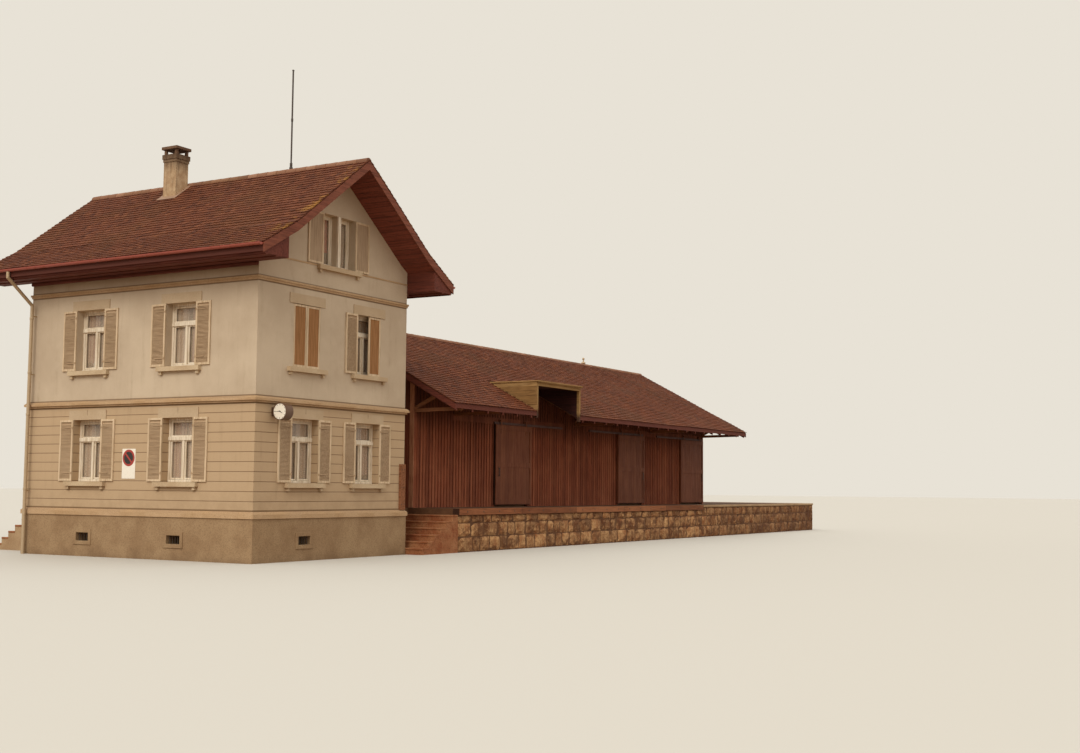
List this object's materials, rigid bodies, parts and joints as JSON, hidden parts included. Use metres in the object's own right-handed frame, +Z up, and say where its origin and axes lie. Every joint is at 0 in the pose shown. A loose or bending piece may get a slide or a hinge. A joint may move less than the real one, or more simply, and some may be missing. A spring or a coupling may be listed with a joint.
{
  "type": "railway station building",
  "caption": "Rendered station house under a steep tiled gable roof, with a timber goods shed on a raised stone loading dock and sliding goods doors.",
  "frame": {"origin": "middle of the plan's bounding box at the level of the dock's foot", "axes": "+X along the tracks from the house towards the dock's open end, +Y from the track side to the street side, +Z up"},
  "size_m": [39.23, 11.412, 13.062],
  "materials": {
    "plaster": "rough painted render",
    "stone_trim": "dressed stone, painted",
    "plinth_render": "rough cement render",
    "roof_tile": "matt clay tile",
    "soffit_wood": "dark red painted boards",
    "window_white": "white gloss paint",
    "shutter_paint": "grey-beige paint",
    "glass": "clear",
    "gutter_red": "red-brown paint",
    "downpipe_grey": "pale grey paint",
    "dark_metal": "dark paint",
    "chimney_render": "smoke-stained render",
    "clock_case": "cream enamel",
    "door_wood": "varnished oak",
    "floor_wood": "worn planks",
    "dock_stone": "rough split stone",
    "step_stone": "worn stone",
    "coping_timber": "weathered timber",
    "shed_boards": "dark stained boards",
    "shed_door_wood": "brown painted boards",
    "dormer_wood": "ochre painted boards"
  },
  "bodies": {
    "building": {"house_plinth": "plinth_render", "plinth_course": "stone_trim", "ground_floor": "floor_wood", "upper_floor": "floor_wood", "attic_floor": "floor_wood", "west_wall": "plaster", "east_wall": "plaster", "track_wall": "plaster", "street_wall": "plaster", "track_gable": "plaster", "street_gable": "plaster", "belt_course": "stone_trim", "frieze_band": "stone_trim", "window_sills": "stone_trim", "window_lintels": "stone_trim", "window_frames": "window_white", "attic_frames": "window_white", "window_glass": "glass", "shutters": "shutter_paint", "house_roof_west": "roof_tile", "house_roof_east": "roof_tile", "eave_boxes": "soffit_wood", "verge_boards": "soffit_wood", "house_ridge_tiles": "roof_tile", "chimney_shaft": "chimney_render", "chimney_cap": "chimney_render", "house_gutters": "gutter_red", "house_downpipes": "downpipe_grey", "aerial_mast": "dark_metal", "station_clock": "clock_case", "corner_guard": "coping_timber", "street_door": "door_wood", "street_steps": "step_stone", "dock_masonry": "dock_stone", "dock_coping": "coping_timber", "dock_steps": "step_stone", "shed_floor": "floor_wood", "shed_front_panels": "shed_boards", "shed_door_heads": "shed_boards", "shed_rear_wall": "shed_boards", "shed_gables": "shed_boards", "shed_roof_front": "roof_tile", "shed_roof_rear": "roof_tile", "shed_ridge_tiles": "roof_tile", "shed_verge_boards": "dormer_wood", "loading_dormer": "dormer_wood", "shed_brackets": "shed_boards", "door_rails": "dark_metal"},
    "goods_door_left_leaf": {"goods_door_left": "shed_door_wood"},
    "goods_door_middle_leaf": {"goods_door_middle": "shed_door_wood"},
    "goods_door_right_leaf": {"goods_door_right": "shed_door_wood"}
  },
  "joints": [
    {"name": "goods_door_left_slide", "type": "slide", "parent": "building", "child": "goods_door_left_leaf", "axis": [1, 0, 0], "range_m": [0, 2.18]},
    {"name": "goods_door_middle_slide", "type": "slide", "parent": "building", "child": "goods_door_middle_leaf", "axis": [-1, 0, 0], "range_m": [0, 2.18]},
    {"name": "goods_door_right_slide", "type": "slide", "parent": "building", "child": "goods_door_right_leaf", "axis": [-1, 0, 0], "range_m": [0, 2.18]}
  ]
}
